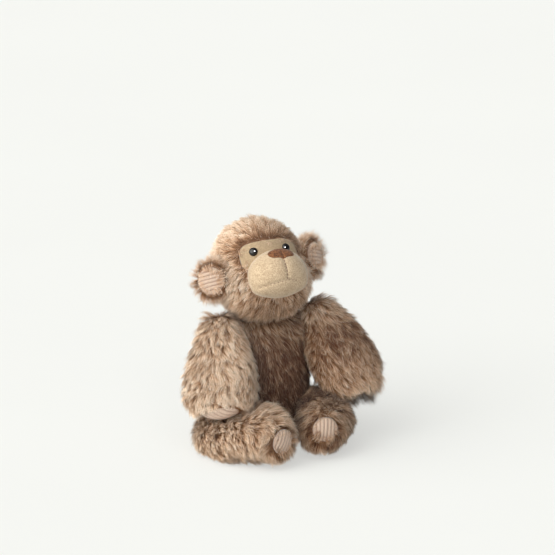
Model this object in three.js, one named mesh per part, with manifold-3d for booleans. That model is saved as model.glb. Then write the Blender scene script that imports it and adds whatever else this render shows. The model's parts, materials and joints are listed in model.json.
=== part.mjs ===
// A seated plush monkey: fur skins, stuffing, cloth face, muzzle, eyes, ears, palm and sole pads.
// Units are millimetres, +Z is up, the toy faces -Y and sits on z = 0. Left and right are the toy's own,
// so its right side is at -X.

import * as THREE from 'three';
import { mergeVertices } from 'three/addons/utils/BufferGeometryUtils.js';
import Module from 'manifold-3d';

const wasm = await Module();
wasm.setup();

// ---------------------------------------------------------------------------------------------------
// Driving dimensions
// ---------------------------------------------------------------------------------------------------

const GAP = 0.4; // between neighbouring pieces
const FUR_CLOTH = 3; // pile cloth with its pile pressed flat
const THIN_CLOTH = 1.6; // woven cloth of the face and muzzle

const NECK_HEIGHT = 130; // the seam plane between torso and head
const NECK_GAP = 0.8;
const NECK_OPENING = { radius: 12, depth: 40 }; // the hole that the stuffing goes in through

// The torso's line starts above the neck and ends below the seat, which are then cut flat. Its taper is
// the share of the full half sizes, from the line's top to its end.
const TORSO = {
  halfWidth: 50,
  halfDepth: 42,
  centerY: 9,
  overNeck: 14,
  underSeat: 6,
  taper: [0.46, 0.68, 0.86, 0.98, 1, 1],
  fullness: 0.5,
};
const PELLET_BAG = { radii: [15, 25, 10], center: [0, 14, 16], wayRadius: 6 };

const HEAD = { center: [0, 10, 171.5], pitch: 22 }; // nose up by the pitch, in degrees
const SKULL = { radii: [43, 45, 46], center: [0, 2, 0] };
const JAW = { radii: [43, 37, 31], center: [0, -11, -19] };
const FACE = { halfWidth: 31, halfHeight: 15, height: 11, squareness: 2.6 };
const MUZZLE = { radii: [30, 29, 23], center: [0, -46, -13] };
const NOSE = { halfWidth: 13, halfHeight: 6.5, squareness: 2.4, tilt: 46, thickness: 1.8 };
const EYE = { side: 17.5, height: 12, radius: 3.8, dome: 3.2, foot: 0.6, shank: 1.2, shankLength: 8 };
const WASHER = { radius: 5.5, thickness: 1.5 };

const EAR = {
  side: 52,
  forward: 10,
  heights: { right: -9, left: 2 },
  radii: [17, 8, 19],
  turn: 34, // outward, in degrees
  roll: 8,
};
const EAR_LINING = { radii: [13, 4, 13.5], forward: 5, side: 1 };

const ARM = {
  lengths: { right: 97, left: 89 }, // the left hand is pushed up by the knee that it leans on
  shoulder: [19, 15], // half width and half depth near the shoulder
  middle: [29.5, 17], // the same at half its length
  hand: [36, 17], // the same near the hand
  fullness: 0.4,
  openingRadius: 7,
};
const ARM_POSES = {
  right: { start: [-46, -4, 132], along: [-0.2, -0.5, -0.84], broad: [0.8, -0.6, 0.13] },
  left: { start: [55, -1, 131], along: [0.25, -0.48, -0.84], broad: [0.91, 0, 0.45] },
};
const PALM = { radii: [19, 9, 4], tilt: 28, inset: 3.5 };

const LEG = {
  hip: [18, 23], // half width and half height at the hip
  knee: [24, 21], // the same at the knee
  foot: [21.5, 26], // the same at the foot
  fullness: 0.48,
};
const LEG_PATHS = {
  right: [[-36, 14, 24], [-48, -8, 18.5], [-56, -32, 16], [-41, -60, 23], [-24, -80, 27], [-18, -97, 25]],
  left: [[36, 14, 24], [46, -8, 25], [52, -28, 25], [44, -52, 26], [32, -72, 26], [29, -88, 26]],
};
const HIP_AXIS = [39, 4]; // distance to the side, and y
const HIP_POCKET_TOP = 48; // height of the round pocket that a leg turns in
const HIP_CLEARANCE = 1.8;
const SOLE = { radii: [12.5, 4, 12.5], heights: { right: 29, left: 32 }, inset: 1 };

const FAR = 400; // larger than the toy, for the boxes that trim it

// ---------------------------------------------------------------------------------------------------
// Materials
// ---------------------------------------------------------------------------------------------------

const FUR = { color: 0xa98a70, roughness: 0.95, metalness: 0 };
const CORDUROY = { color: 0xcdb7a6, roughness: 0.9, metalness: 0 };
const CREAM = { color: 0xdcc5a0, roughness: 0.9, metalness: 0 };
const NOSE_BROWN = { color: 0x84563a, roughness: 0.85, metalness: 0 };
const BLACK_PLASTIC = { color: 0x0c0b0b, roughness: 0.08, metalness: 0 };
const CLEAR_PLASTIC = { color: 0xe6e4de, roughness: 0.4, metalness: 0 };
const STUFFING = { color: 0xf2f0ea, roughness: 1, metalness: 0 };
const PELLETS = { color: 0xcfcac0, roughness: 0.8, metalness: 0 };

// ---------------------------------------------------------------------------------------------------
// Helpers
// ---------------------------------------------------------------------------------------------------

const degrees = (angle) => THREE.MathUtils.degToRad(angle);

// The same geometry with only positions, and with its shared vertices merged.
function welded(geometry) {
  const bare = geometry.clone();
  bare.deleteAttribute('normal');
  bare.deleteAttribute('uv');
  return mergeVertices(bare, 1e-4);
}

// A manifold solid from a closed geometry.
function solid(geometry) {
  const merged = welded(geometry);
  const corners = Array.from(merged.index.array);
  const triangles = [];
  for (let i = 0; i < corners.length; i += 3) {
    const [a, b, c] = corners.slice(i, i + 3);
    if (a !== b && b !== c && c !== a) {
      triangles.push(a, b, c);
    }
  }
  const mesh = new wasm.Mesh({
    numProp: 3,
    vertProperties: new Float32Array(merged.attributes.position.array),
    triVerts: new Uint32Array(triangles),
  });
  return new wasm.Manifold(mesh);
}

function geometryOf(manifold) {
  const mesh = manifold.getMesh();
  const geometry = new THREE.BufferGeometry();
  geometry.setAttribute('position', new THREE.BufferAttribute(mesh.vertProperties, 3));
  geometry.setIndex(new THREE.BufferAttribute(mesh.triVerts, 1));
  geometry.computeVertexNormals();
  return geometry;
}

// The geometry with its surface moved out along its normals, or in where the distance is negative.
function offset(geometry, distance) {
  const moved = welded(geometry);
  moved.computeVertexNormals();
  const { position, normal } = moved.attributes;
  for (let i = 0; i < position.count; i += 1) {
    position.setXYZ(
      i,
      position.getX(i) + normal.getX(i) * distance,
      position.getY(i) + normal.getY(i) * distance,
      position.getZ(i) + normal.getZ(i) * distance,
    );
  }
  return moved;
}

function ellipsoid({ radii, center }, sides = 18, rings = 10) {
  const geometry = new THREE.SphereGeometry(1, sides, rings);
  geometry.rotateX(Math.PI / 2);
  geometry.scale(...radii);
  geometry.translate(...center);
  return geometry;
}

// A closed soft body along a curve. Its half sizes at t, from 0 to 1 along the curve, are given by
// halfWidth(t), across the flat side, and halfDepth(t), along the fixed direction deep.
function softBody(curve, deep, halfWidth, halfDepth, fullness, sides = 16, rings = 10) {
  const geometry = new THREE.SphereGeometry(1, sides, rings);
  const { position } = geometry.attributes;
  const depthDirection = new THREE.Vector3(...deep).normalize();
  for (let i = 0; i < position.count; i += 1) {
    const t = THREE.MathUtils.clamp((1 - position.getY(i)) / 2, 0, 1);
    const reach = Math.hypot(position.getX(i), position.getZ(i));
    const swell = reach > 1e-6 ? reach ** fullness / reach : 0;
    const across = new THREE.Vector3().crossVectors(depthDirection, curve.getTangent(t)).normalize();
    const point = curve.getPoint(t);
    point.addScaledVector(across, position.getX(i) * swell * halfWidth(t));
    point.addScaledVector(depthDirection, position.getZ(i) * swell * halfDepth(t));
    position.setXYZ(i, point.x, point.y, point.z);
  }
  return geometry;
}

// A smooth function through values that are spaced evenly from t = 0 to t = 1.
function profile(values) {
  const curve = new THREE.SplineCurve(values.map((value, i) => new THREE.Vector2(i, value)));
  return (t) => curve.getPoint(t).y;
}

// A solid box that holds everything above the height z, or below it.
function halfSpace(z, side) {
  const box = new THREE.BoxGeometry(FAR, FAR, FAR);
  box.translate(0, 0, z + (side * FAR) / 2);
  return box;
}

const above = (z) => halfSpace(z, 1);
const below = (z) => halfSpace(z, -1);

// A rounded outline, extruded along -Y from the origin. Its squareness is 2 for an ellipse, more for
// fuller corners.
function rounded(halfWidth, halfHeight, height, squareness = 2, depth = 90, points = 20) {
  const outline = new THREE.Shape();
  for (let i = 0; i < points; i += 1) {
    const angle = (2 * Math.PI * i) / points;
    const [c, s] = [Math.cos(angle), Math.sin(angle)];
    const x = Math.sign(c) * Math.abs(c) ** (2 / squareness) * halfWidth;
    const y = Math.sign(s) * Math.abs(s) ** (2 / squareness) * halfHeight + height;
    if (i === 0) {
      outline.moveTo(x, y);
    } else {
      outline.lineTo(x, y);
    }
  }
  outline.closePath();
  const geometry = new THREE.ExtrudeGeometry(outline, { depth, bevelEnabled: false });
  geometry.rotateX(Math.PI / 2);
  return geometry;
}

function part(name, shape, finish) {
  const geometry = shape.isBufferGeometry ? shape : geometryOf(shape);
  const mesh = new THREE.Mesh(geometry, new THREE.MeshStandardMaterial(finish));
  mesh.name = name;
  return mesh;
}

// ---------------------------------------------------------------------------------------------------
// Legs: a bent fur tube from the hip to the foot, a corduroy sole and the stuffing
// ---------------------------------------------------------------------------------------------------

function legShape(side, sides = 16, rings = 10) {
  const points = LEG_PATHS[side].map((point) => new THREE.Vector3(...point));
  const curve = new THREE.CatmullRomCurve3(points);
  const widths = profile([LEG.hip[0], LEG.knee[0], LEG.foot[0]]);
  const heights = profile([LEG.hip[1], LEG.knee[1], LEG.foot[1]]);
  return { curve, body: softBody(curve, [0, 0, 1], widths, heights, LEG.fullness, sides, rings) };
}

// The sole pad's ellipsoid, grown by the given distance, on the end of the leg.
function soleShape(side, curve, grow) {
  const end = curve.getPoint(1);
  const direction = curve.getTangent(1);
  const geometry = ellipsoid({ radii: SOLE.radii.map((r) => r + grow), center: [0, 0, 0] }, 16, 8);
  geometry.rotateZ(Math.atan2(direction.y, direction.x) + Math.PI / 2);
  geometry.translate(end.x, end.y, SOLE.heights[side]);
  geometry.translate(-direction.x * SOLE.inset, -direction.y * SOLE.inset, 0);
  return geometry;
}

function leg(side) {
  const { curve, body } = legShape(side);
  const floor = solid(above(0));
  const innerFloor = solid(above(FUR_CLOTH));
  const stuffingFloor = solid(above(FUR_CLOTH + GAP));
  const sole = solid(soleShape(side, curve, 0));
  const soleRoom = solid(soleShape(side, curve, GAP));
  const inside = solid(offset(body, -FUR_CLOTH)).intersect(innerFloor);
  const filling = solid(offset(body, -FUR_CLOTH - GAP)).intersect(stuffingFloor);
  const skin = solid(body).intersect(floor).subtract(inside).subtract(soleRoom);
  return [
    part(`leg_skin_${side}`, skin, FUR),
    part(`leg_stuffing_${side}`, filling.subtract(soleRoom), STUFFING),
    part(`sole_pad_${side}`, sole, CORDUROY),
  ];
}

// The room that both legs need in the torso: their own shape, and a round pocket for the turning hip.
function legRoom(clearance) {
  let room = null;
  for (const [side, sign] of [['right', -1], ['left', 1]]) {
    const radius = LEG.hip[0] + clearance;
    const pocket = new THREE.CylinderGeometry(radius, radius, HIP_POCKET_TOP + clearance, 18);
    pocket.rotateX(Math.PI / 2);
    pocket.translate(sign * HIP_AXIS[0], HIP_AXIS[1], (HIP_POCKET_TOP + clearance) / 2);
    const hips = solid(offset(legShape(side, 12, 8).body, clearance)).add(solid(pocket));
    room = room ? room.add(hips) : hips;
  }
  return room;
}

// The upright hole through the neck seam, at the given y.
function neckOpening(y) {
  const hole = new THREE.CylinderGeometry(NECK_OPENING.radius, NECK_OPENING.radius, NECK_OPENING.depth, 16);
  hole.rotateX(Math.PI / 2);
  hole.translate(0, y, NECK_HEIGHT);
  return hole;
}

// ---------------------------------------------------------------------------------------------------
// Torso: a pear-shaped skin with a flat seat, its stuffing and the pellet bag
// ---------------------------------------------------------------------------------------------------

function torso() {
  const line = new THREE.LineCurve3(
    new THREE.Vector3(0, TORSO.centerY, NECK_HEIGHT + TORSO.overNeck),
    new THREE.Vector3(0, TORSO.centerY, -TORSO.underSeat),
  );
  const widths = profile(TORSO.taper.map((share) => share * TORSO.halfWidth));
  const depths = profile(TORSO.taper.map((share) => share * TORSO.halfDepth));
  const body = softBody(line, [0, 1, 0], widths, depths, TORSO.fullness, 20, 12);
  const slab = (inset) => solid(above(inset)).intersect(solid(below(NECK_HEIGHT - inset)));
  const outer = solid(body).intersect(slab(0)).subtract(legRoom(HIP_CLEARANCE));
  const inner = solid(offset(body, -FUR_CLOTH))
    .intersect(slab(FUR_CLOTH))
    .subtract(legRoom(HIP_CLEARANCE + FUR_CLOTH));
  const neckHole = neckOpening(TORSO.centerY);
  const filling = solid(offset(body, -FUR_CLOTH - GAP))
    .intersect(slab(FUR_CLOTH + GAP))
    .subtract(legRoom(HIP_CLEARANCE + FUR_CLOTH + GAP));
  // The bag is pushed in from below, so its pocket is open downward.
  const { radii, center, wayRadius } = PELLET_BAG;
  const bagPocket = solid(ellipsoid({ radii: radii.map((r) => r + GAP), center }, 16, 8));
  const bagWay = new THREE.CylinderGeometry(wayRadius, wayRadius, center[2], 12);
  bagWay.rotateX(Math.PI / 2);
  bagWay.translate(center[0], center[1], center[2] / 2);
  return [
    part('torso_skin', outer.subtract(inner).subtract(solid(neckHole)), FUR),
    part('torso_stuffing', filling.subtract(bagPocket).subtract(solid(bagWay)), STUFFING),
    part('pellet_bag', ellipsoid(PELLET_BAG, 16, 8), PELLETS),
  ];
}

// ---------------------------------------------------------------------------------------------------
// Arms: a fur paddle that widens to the hand, a corduroy palm and the stuffing
// ---------------------------------------------------------------------------------------------------

function arm(side) {
  const pose = ARM_POSES[side];
  const along = new THREE.Vector3(...pose.along).normalize();
  const start = new THREE.Vector3(...pose.start);
  const end = start.clone().addScaledVector(along, ARM.lengths[side]);
  // The back of the hand faces outward and forward, and the palm the other way.
  const back = new THREE.Vector3(...pose.broad).cross(along).normalize();
  back.multiplyScalar(-Math.sign(back.y));
  const widths = profile([ARM.shoulder[0], ARM.middle[0], ARM.hand[0]]);
  const depths = profile([ARM.shoulder[1], ARM.middle[1], ARM.hand[1]]);
  const body = softBody(new THREE.LineCurve3(start, end), back.toArray(), widths, depths, ARM.fullness);

  const mouth = new THREE.SphereGeometry(ARM.openingRadius, 12, 6);
  mouth.translate(start.x - Math.sign(start.x) * ARM.shoulder[0], start.y, start.z - ARM.shoulder[0]);

  const palmAxis = along.clone().applyAxisAngle(
    new THREE.Vector3().crossVectors(along, back).normalize(),
    degrees(PALM.tilt),
  );
  const wide = new THREE.Vector3().crossVectors(back, along).normalize();
  const deep = new THREE.Vector3().crossVectors(palmAxis, wide).normalize();
  const frame = new THREE.Matrix4().makeBasis(wide, deep, palmAxis);
  frame.setPosition(end.clone().addScaledVector(palmAxis, -PALM.inset));
  const palmShape = (grow) => {
    const radii = PALM.radii.map((r) => r + grow);
    return solid(ellipsoid({ radii, center: [0, 0, 0] }, 16, 8).applyMatrix4(frame));
  };

  const inside = solid(offset(body, -FUR_CLOTH));
  const filling = solid(offset(body, -FUR_CLOTH - GAP));
  const palmRoom = palmShape(GAP);
  return [
    part(`arm_skin_${side}`, solid(body).subtract(inside).subtract(solid(mouth)).subtract(palmRoom), FUR),
    part(`arm_stuffing_${side}`, filling.subtract(palmRoom), STUFFING),
    part(`palm_pad_${side}`, palmShape(0), CORDUROY),
  ];
}

// ---------------------------------------------------------------------------------------------------
// Head: in its own frame, with the skull's middle at the origin, then tipped back and set on the neck
// ---------------------------------------------------------------------------------------------------

function headFrame() {
  const frame = new THREE.Matrix4().makeRotationX(-degrees(HEAD.pitch));
  frame.setPosition(...HEAD.center);
  return frame;
}

// Everything above the neck seam, in the head's frame.
function aboveNeck(lift) {
  const box = above(NECK_HEIGHT + NECK_GAP + lift);
  box.applyMatrix4(headFrame().invert());
  return solid(box);
}

function headShape(distance) {
  return solid(offset(ellipsoid(SKULL), distance)).add(solid(offset(ellipsoid(JAW), distance)));
}

// The y of a body's front surface at a place on it.
function frontOf({ radii, center }, x, z) {
  const u = (x - center[0]) / radii[0];
  const w = (z - center[2]) / radii[2];
  return center[1] - radii[1] * Math.sqrt(1 - u * u - w * w);
}

// A frame on the skull's front, with +Z pointing out of the face.
function eyeFrame(sign) {
  const x = sign * EYE.side;
  const place = new THREE.Vector3(x, frontOf(SKULL, x, EYE.height), EYE.height);
  const [a, b, c] = SKULL.radii;
  const outward = new THREE.Vector3(place.x / a ** 2, place.y / b ** 2, place.z / c ** 2).normalize();
  const turn = new THREE.Quaternion().setFromUnitVectors(new THREE.Vector3(0, 0, 1), outward);
  return new THREE.Matrix4().compose(place, turn, new THREE.Vector3(1, 1, 1));
}

// A shape made on the Z axis, moved onto an eye's frame.
function onEye(geometry, sign) {
  geometry.rotateX(Math.PI / 2);
  return geometry.applyMatrix4(eyeFrame(sign));
}

function eyeBead(sign) {
  const dome = [];
  for (let i = 0; i <= 4; i += 1) {
    const angle = (Math.PI / 2) * (i / 4);
    dome.push(new THREE.Vector2(EYE.radius * Math.cos(angle), EYE.foot + EYE.dome * Math.sin(angle)));
  }
  dome[4].x = 0;
  const points = [
    new THREE.Vector2(0, -EYE.shankLength),
    new THREE.Vector2(EYE.shank, -EYE.shankLength),
    new THREE.Vector2(EYE.shank, EYE.foot),
    ...dome,
  ];
  return onEye(new THREE.LatheGeometry(points, 14), sign);
}

function eyeWasher(sign) {
  const [inner, outer] = [EYE.shank + GAP, WASHER.radius];
  const top = -FUR_CLOTH - GAP;
  const bottom = top - WASHER.thickness;
  const ring = [[inner, bottom], [outer, bottom], [outer, top], [inner, top], [inner, bottom]];
  return onEye(new THREE.LatheGeometry(ring.map(([x, y]) => new THREE.Vector2(x, y)), 24), sign);
}

function eyeRod(sign, radius, top, bottom) {
  const rod = new THREE.CylinderGeometry(radius, radius, top - bottom, 14);
  rod.translate(0, (top + bottom) / 2, 0);
  return solid(onEye(rod, sign));
}

function ear(side, sign) {
  const place = new THREE.Matrix4().makeRotationZ(sign * degrees(EAR.turn));
  place.multiply(new THREE.Matrix4().makeRotationY(sign * degrees(EAR.roll)));
  place.setPosition(sign * EAR.side, -EAR.forward, EAR.heights[side]);
  const shape = (radii, forward, aside, grow) => {
    const grown = radii.map((r) => r + grow);
    const geometry = ellipsoid({ radii: grown, center: [aside, -forward, 0] }, 16, 8);
    return solid(geometry.applyMatrix4(place));
  };
  const lining = (grow) => shape(EAR_LINING.radii, EAR_LINING.forward, sign * EAR_LINING.side, grow);
  const head = headShape(GAP);
  return [
    part(`ear_back_${side}`, shape(EAR.radii, 0, 0, 0).subtract(head).subtract(lining(GAP)), FUR),
    part(`ear_lining_${side}`, lining(0).subtract(head), CORDUROY),
  ];
}

function head() {
  const group = new THREE.Group();
  const window = (grow) => solid(rounded(
    FACE.halfWidth + grow,
    FACE.halfHeight + grow,
    FACE.height,
    FACE.squareness,
  ));
  const neckHole = neckOpening(0).applyMatrix4(headFrame().invert());

  const shell = headShape(0).intersect(aboveNeck(0));
  const inside = headShape(-FUR_CLOTH).intersect(aboveNeck(FUR_CLOTH));
  const skin = shell.subtract(inside).subtract(window(GAP)).subtract(solid(neckHole));
  let face = headShape(0).subtract(headShape(-THIN_CLOTH)).intersect(window(0));
  let filling = headShape(-FUR_CLOTH - GAP).intersect(aboveNeck(FUR_CLOTH + GAP));

  const muzzle = ellipsoid(MUZZLE);
  const headWithRoom = headShape(GAP);
  const muzzleInside = solid(offset(muzzle, -THIN_CLOTH));
  const muzzleSkin = solid(muzzle).subtract(headWithRoom).subtract(muzzleInside);
  const muzzleFilling = solid(offset(muzzle, -THIN_CLOTH - GAP)).subtract(headWithRoom);
  const noseOutline = rounded(NOSE.halfWidth, NOSE.halfHeight, 0, NOSE.squareness);
  noseOutline.rotateX(-degrees(NOSE.tilt));
  noseOutline.translate(...MUZZLE.center);
  const noseLayer = solid(offset(muzzle, NOSE.thickness)).subtract(solid(offset(muzzle, GAP)));
  const nose = noseLayer.intersect(solid(noseOutline));

  const pieces = [];
  for (const [side, sign] of [['right', -1], ['left', 1]]) {
    const shankEnd = -EYE.shankLength - GAP;
    face = face.subtract(eyeRod(sign, EYE.shank + GAP, EYE.shankLength, shankEnd));
    filling = filling.subtract(eyeRod(sign, WASHER.radius + GAP, EYE.shankLength, shankEnd));
    pieces.push(part(`eye_${side}`, eyeBead(sign), BLACK_PLASTIC));
    pieces.push(part(`eye_washer_${side}`, eyeWasher(sign), CLEAR_PLASTIC));
    pieces.push(...ear(side, sign));
  }
  pieces.push(part('head_skin', skin, FUR));
  pieces.push(part('head_stuffing', filling, STUFFING));
  pieces.push(part('face_patch', face, CREAM));
  pieces.push(part('muzzle_skin', muzzleSkin, CREAM));
  pieces.push(part('muzzle_stuffing', muzzleFilling, STUFFING));
  pieces.push(part('nose', nose, NOSE_BROWN));
  group.add(...pieces);
  group.applyMatrix4(headFrame());
  return group;
}

// ---------------------------------------------------------------------------------------------------
// The whole toy
// ---------------------------------------------------------------------------------------------------

const toy = new THREE.Group();
toy.name = 'plush_monkey';
toy.add(...torso(), head());
for (const side of ['right', 'left']) {
  toy.add(...arm(side), ...leg(side));
}

// The origin is under the middle of the whole toy's box, on the surface that it sits on.
toy.updateMatrixWorld(true);
const box = new THREE.Box3().setFromObject(toy, true);
const middle = box.getCenter(new THREE.Vector3());
toy.position.set(-middle.x, -middle.y, -box.min.z);

export default toy;
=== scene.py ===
"""A seated plush monkey: the visible cloth, fur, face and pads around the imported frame.

Lengths in this file are millimetres until a mesh is made, and then metres. The toy faces -Y. Left and
right are the toy's own, so its right side is at -X.
"""
import json
import math

import bmesh
import bpy
import numpy as np
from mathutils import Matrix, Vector, kdtree
from mathutils.bvhtree import BVHTree


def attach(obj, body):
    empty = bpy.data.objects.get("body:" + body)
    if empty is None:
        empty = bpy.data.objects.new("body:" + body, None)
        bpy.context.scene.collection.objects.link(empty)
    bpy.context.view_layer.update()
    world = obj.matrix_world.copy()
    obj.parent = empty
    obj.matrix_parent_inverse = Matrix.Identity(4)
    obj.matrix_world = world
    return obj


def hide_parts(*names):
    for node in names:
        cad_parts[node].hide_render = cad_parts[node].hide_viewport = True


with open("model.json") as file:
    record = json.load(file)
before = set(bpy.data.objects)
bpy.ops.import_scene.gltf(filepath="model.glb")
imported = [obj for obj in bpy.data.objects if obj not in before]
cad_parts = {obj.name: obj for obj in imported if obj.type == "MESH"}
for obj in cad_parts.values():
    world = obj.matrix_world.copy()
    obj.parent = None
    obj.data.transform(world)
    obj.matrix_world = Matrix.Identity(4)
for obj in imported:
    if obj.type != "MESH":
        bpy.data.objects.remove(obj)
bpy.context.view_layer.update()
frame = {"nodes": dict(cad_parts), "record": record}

MM = 0.001
UV_NAME = "OFBake"
UP = np.array([0.0, 0.0, 1.0])
SIDES = {"right": -1, "left": 1}

# The seat's mount is the point below the middle of the torso.
MOUNT = next(m for m in frame["record"]["mounts"] if m["name"] == "seat")
SEAT = np.array(MOUNT["pos_m"]) / MM

# The middle of the head, how far the face looks up, and the point that the limbs' places start from.
HEAD_CENTER = SEAT + [0, 1, 171.5]
HEAD_PITCH = math.radians(22)
ORIGIN = SEAT - [0, 9, 0]

# ==== Camera ====

# The camera's lengths are metres, and its sensor millimetres.
VIEW_AZIMUTH = math.radians(-23)
VIEW_ELEVATION = math.radians(18)
VIEW_WIDTH = 0.538
VIEW_DISTANCE = 6.0
SENSOR = 36
TARGET_RIGHT = 0.015
TARGET_UP = 0.1547


def placed(name, data):
    """A new object in the scene."""
    obj = bpy.data.objects.new(name, data)
    bpy.context.scene.collection.objects.link(obj)
    return obj


def make_camera():
    a, e = VIEW_AZIMUTH, VIEW_ELEVATION
    back = Vector((math.sin(a) * math.cos(e), -math.cos(a) * math.cos(e), math.sin(e)))
    right = Vector((math.cos(a), math.sin(a), 0))
    up = back.cross(right)
    target = Vector(ORIGIN * MM) + right * TARGET_RIGHT + up * TARGET_UP
    data = bpy.data.cameras.new("camera")
    data.sensor_width = SENSOR
    data.lens = SENSOR * VIEW_DISTANCE / VIEW_WIDTH
    camera = placed("camera", data)
    camera.location = target + back * VIEW_DISTANCE
    camera.rotation_mode = "QUATERNION"
    camera.rotation_quaternion = (-back).to_track_quat("-Z", "Y")
    data.clip_start, data.clip_end = 0.05, 60
    bpy.context.scene.camera = camera


make_camera()

# ==== Materials ====


def srgb(r, g, b):
    """The linear colour of an 8-bit sRGB colour."""
    return [((c / 255) / 12.92 if c <= 10 else ((c / 255 + 0.055) / 1.055) ** 2.4) for c in (r, g, b)] + [1]


class Graph:
    """A node tree under construction."""

    def __init__(self, tree):
        self.tree = tree

    def add(self, kind, links=(), **settings):
        node = self.tree.nodes.new("ShaderNode" + kind)
        for key, value in settings.items():
            setattr(node, key, value)
        for socket, source in dict(links).items():
            if isinstance(source, bpy.types.NodeSocket):
                self.tree.links.new(source, node.inputs[socket])
            else:
                node.inputs[socket].default_value = source
        return node

    def math(self, operation, a, b=0.0):
        return self.add("Math", {0: a, 1: b}, operation=operation).outputs[0]


class Nodes(Graph):
    """A material under construction."""

    def __init__(self, name, **sockets):
        self.material = bpy.data.materials.new(name)
        self.material.use_nodes = True
        super().__init__(self.material.node_tree)
        self.shader = self.tree.nodes["Principled BSDF"]
        for key, value in sockets.items():
            self.shader.inputs[key.replace("_", " ")].default_value = value

    def coordinates(self):
        return self.add("TexCoord").outputs["Object"]

    def noise(self, scale, detail=2.0, roughness=0.5):
        links = {"Vector": self.coordinates(), "Scale": scale, "Detail": detail, "Roughness": roughness}
        return self.add("TexNoise", links).outputs["Fac"]

    def ramp(self, factor, stops):
        node = self.add("ValToRGB", {"Fac": factor})
        points = node.color_ramp.elements
        while len(points) < len(stops):
            points.new(0.5)
        for point, (position, color) in zip(points, stops):
            point.position = position
            point.color = color
        return node.outputs["Color"]

    def product(self, a, b):
        """Two colours multiplied."""
        node = self.add("Mix", data_type="RGBA", blend_type="MULTIPLY")
        inputs = {s.name: s for s in node.inputs if s.enabled}
        inputs["Factor"].default_value = 1.0
        self.tree.links.new(a, inputs["A"])
        self.tree.links.new(b, inputs["B"])
        return next(s for s in node.outputs if s.enabled)

    def color(self, source):
        self.tree.links.new(source, self.shader.inputs["Base Color"])

    def bump(self, height, strength, distance):
        node = self.add("Bump", {"Height": height, "Strength": strength, "Distance": distance})
        self.tree.links.new(node.outputs["Normal"], self.shader.inputs["Normal"])


def fur_material():
    """Pile: dark at the root, partly painted shade deep in the pile, and pale at the tip, with each tuft
    and fibre a little different. The tone across the fibres also carries grow_fur's painted light and
    shade.
    """
    n = Nodes("pile", Roughness=0.75, Specular_IOR_Level=0.15, Sheen_Weight=0.12, Sheen_Roughness=0.5)
    uv = n.add("UVMap", uv_map=UV_NAME).outputs["UV"]
    split = n.add("SeparateXYZ", {"Vector": uv})
    # Along the fibre: dark at the root, partly painted shade deep in the pile, to pale at the tip.
    along = n.ramp(split.outputs["Y"], [
        (0.0, srgb(68, 43, 25)),
        (0.35, srgb(179, 137, 103)),
        (0.7, srgb(244, 217, 192)),
        (1.0, srgb(255, 249, 238)),
    ])
    # Across the fibres: the tone, which grow_fur paints darker where shade falls and paler where light
    # falls.
    tone = n.ramp(split.outputs["X"], [
        (0.05, srgb(101, 64, 35)),
        (0.5, srgb(232, 213, 196)),
        (0.95, srgb(255, 255, 254)),
    ])
    n.color(n.product(along, tone))
    return n.material


def backing_material():
    """The cloth that the pile grows from."""
    n = Nodes("pile_backing", Roughness=0.95, Specular_IOR_Level=0.1)
    n.color(n.ramp(n.noise(900, 3), [(0.3, srgb(94, 63, 43)), (0.7, srgb(138, 102, 77))]))
    n.bump(n.noise(1500, 2), 0.6, 0.0006)
    return n.material


def cream_material(name, light, dark, nap):
    """Short-nap woven cloth with paler and darker flecks."""
    n = Nodes(name, Roughness=0.9, Specular_IOR_Level=0.2, Sheen_Weight=0.35, Sheen_Roughness=0.4)
    fleck = n.noise(1000, 3, 0.65)
    patch = n.noise(120, 2)
    blend = n.math("MULTIPLY_ADD", patch, 0.15)
    n.tree.links.new(n.math("MULTIPLY", fleck, 0.85), blend.node.inputs[2])
    n.color(n.ramp(blend, [(0.35, dark), (0.6, light)]))
    n.bump(n.noise(nap, 2, 0.6), 0.35, 0.0005)
    return n.material


def weave_material():
    """Plain cream cloth with a fine square weave."""
    n = Nodes("face_cloth", Roughness=0.9, Specular_IOR_Level=0.2, Sheen_Weight=0.3, Sheen_Roughness=0.4)
    point = n.coordinates()
    weave = []
    for direction in ("X", "Z"):
        links = {"Vector": point, "Scale": 420.0, "Distortion": 1.2, "Detail": 1.0}
        weave.append(n.add("TexWave", links, bands_direction=direction).outputs["Fac"])
    height = n.math("MULTIPLY", *weave)
    fleck = n.noise(700, 3, 0.6)
    tone = n.math("ADD", n.math("MULTIPLY", height, 0.25), n.math("MULTIPLY", fleck, 0.75))
    n.color(n.ramp(tone, [(0.3, srgb(150, 127, 99)), (0.6, srgb(182, 158, 128))]))
    n.bump(height, 0.4, 0.0004)
    return n.material


def corduroy_material():
    """Wide-wale corduroy: the attribute wale is 0 in a groove and 1 on a ridge, and the grooves are painted
    darker as shade.
    """
    n = Nodes("corduroy", Roughness=0.85, Specular_IOR_Level=0.2, Sheen_Weight=0.5, Sheen_Roughness=0.4)
    wale = n.add("Attribute", attribute_name="wale").outputs["Fac"]
    # Painted shade: darker in the grooves.
    base = n.ramp(wale, [
        (0.0, srgb(150, 124, 108)),
        (0.45, srgb(180, 155, 139)),
        (1.0, srgb(200, 176, 159)),
    ])
    fleck = n.ramp(n.noise(1300, 3, 0.6), [(0.3, srgb(225, 220, 215)), (0.7, srgb(255, 255, 255))])
    n.color(n.product(base, fleck))
    n.bump(n.noise(2200, 2), 0.5, 0.0004)
    return n.material


def nose_material():
    n = Nodes("nose_cloth", Roughness=0.85, Specular_IOR_Level=0.15, Sheen_Weight=0.12, Sheen_Roughness=0.4)
    n.color(n.ramp(n.noise(800, 3, 0.7), [(0.38, srgb(58, 28, 14)), (0.62, srgb(144, 92, 54))]))
    n.bump(n.noise(1800, 2), 0.6, 0.0005)
    return n.material


def eye_material():
    n = Nodes("eye_plastic", Roughness=0.06, Specular_IOR_Level=0.45)
    n.color(n.ramp(n.noise(300, 1), [(0.4, srgb(9, 7, 7)), (0.6, srgb(16, 13, 12))]))
    return n.material


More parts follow.
